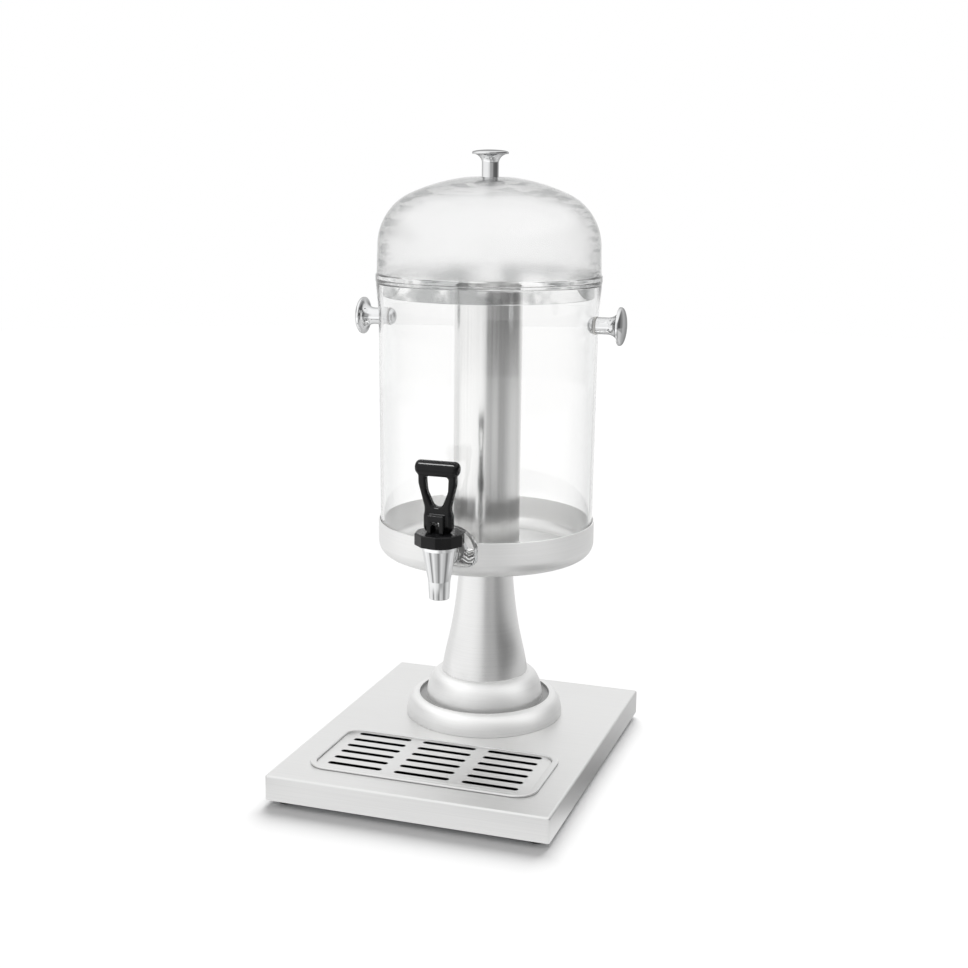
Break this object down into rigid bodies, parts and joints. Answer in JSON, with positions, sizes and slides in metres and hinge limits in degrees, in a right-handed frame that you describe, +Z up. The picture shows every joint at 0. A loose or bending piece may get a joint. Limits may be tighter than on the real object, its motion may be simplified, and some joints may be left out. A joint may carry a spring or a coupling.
{
  "type": "cylindrical drink dispenser",
  "caption": "Clear cylindrical drink dispenser with domed lid, central ice tube and push tap, on a steel pedestal over a flat base with a drip tray.",
  "frame": {"origin": "on the floor under the centre of the base's rectangle", "axes": "+Z up along the tank, front with the tap towards -Y, +X to the right seen from the front"},
  "size_m": [0.2682, 0.334, 0.582],
  "materials": {
    "satin_steel": "satin stainless steel, fine grained",
    "polished_steel": "polished stainless steel tube",
    "plain_steel": "plain mill steel, hidden",
    "bright_chrome": "bright chrome plating",
    "clear_plastic": "clear moulded polycarbonate",
    "black_plastic": "glossy black moulding",
    "foot_rubber": "matt black rubber",
    "seal_rubber": "dark grey sealing rubber",
    "white_silicone": "milky silicone"
  },
  "bodies": {
    "stand": {"base_shell": "satin_steel", "base_bottom_plate": "plain_steel", "base_standoffs": "plain_steel", "foot_front_left": "foot_rubber", "foot_front_right": "foot_rubber", "foot_rear_left": "foot_rubber", "foot_rear_right": "foot_rubber", "foot_screws": "plain_steel", "pedestal_foot_ring": "satin_steel", "pedestal_collar": "satin_steel", "pedestal_column": "satin_steel", "tie_rod": "plain_steel", "tie_rod_washer": "plain_steel", "tie_rod_nut": "plain_steel", "dish_hub": "plain_steel", "dish": "satin_steel"},
    "drip_tray": {"drip_tray": "satin_steel"},
    "drip_grate": {"drip_grate": "satin_steel"},
    "tank": {"tank": "clear_plastic", "side_knob_left": "bright_chrome", "side_knob_right": "bright_chrome", "side_knob_gaskets": "white_silicone", "side_knob_screws": "bright_chrome", "tap_body": "bright_chrome", "tap_outer_washer": "seal_rubber", "tap_inner_washer": "seal_rubber", "tap_shank_nut": "bright_chrome", "tap_bonnet": "black_plastic", "tap_spring": "plain_steel"},
    "tap_handle": {"tap_handle": "black_plastic", "tap_handle_pin": "plain_steel"},
    "tap_stem": {"tap_stem": "black_plastic", "tap_seat_cup": "white_silicone"},
    "ice_tube": {"ice_tube": "polished_steel"},
    "lid": {"lid": "clear_plastic", "lid_knob": "bright_chrome", "lid_knob_washer": "clear_plastic", "lid_knob_screw": "bright_chrome"}
  },
  "joints": [
    {"name": "drip_tray_lift", "type": "slide", "parent": "stand", "child": "drip_tray", "axis": [0, 0, 1], "range_m": [0, 0.06]},
    {"name": "drip_grate_lift", "type": "slide", "parent": "drip_tray", "child": "drip_grate", "axis": [0, 0, 1], "range_m": [0, 0.05]},
    {"name": "tank_lift", "type": "slide", "parent": "stand", "child": "tank", "axis": [0, 0, 1], "range_m": [0, 0.12]},
    {"name": "ice_tube_lift", "type": "slide", "parent": "tank", "child": "ice_tube", "axis": [0, 0, 1], "range_m": [0, 0.28]},
    {"name": "lid_lift", "type": "slide", "parent": "ice_tube", "child": "lid", "axis": [0, 0, 1], "range_m": [0, 0.15]},
    {"name": "tap_handle_swing", "type": "hinge", "parent": "tank", "child": "tap_handle", "pos_m": [0, -0.089, 0.2453], "axis": [1, 0, 0], "range_deg": [0, 28], "stiffness_Nm_per_rad": 0.4, "springref_deg": -8.59},
    {"name": "tap_stem_lift", "type": "slide", "parent": "tank", "child": "tap_stem", "axis": [0, 0, 1], "range_m": [0, 0.0058], "deforming": ["tap_spring"]}
  ],
  "couplings": [
    {"joint": "tap_stem_lift", "follows": "tap_handle_swing", "m_per_rad": 0.01172}
  ]
}
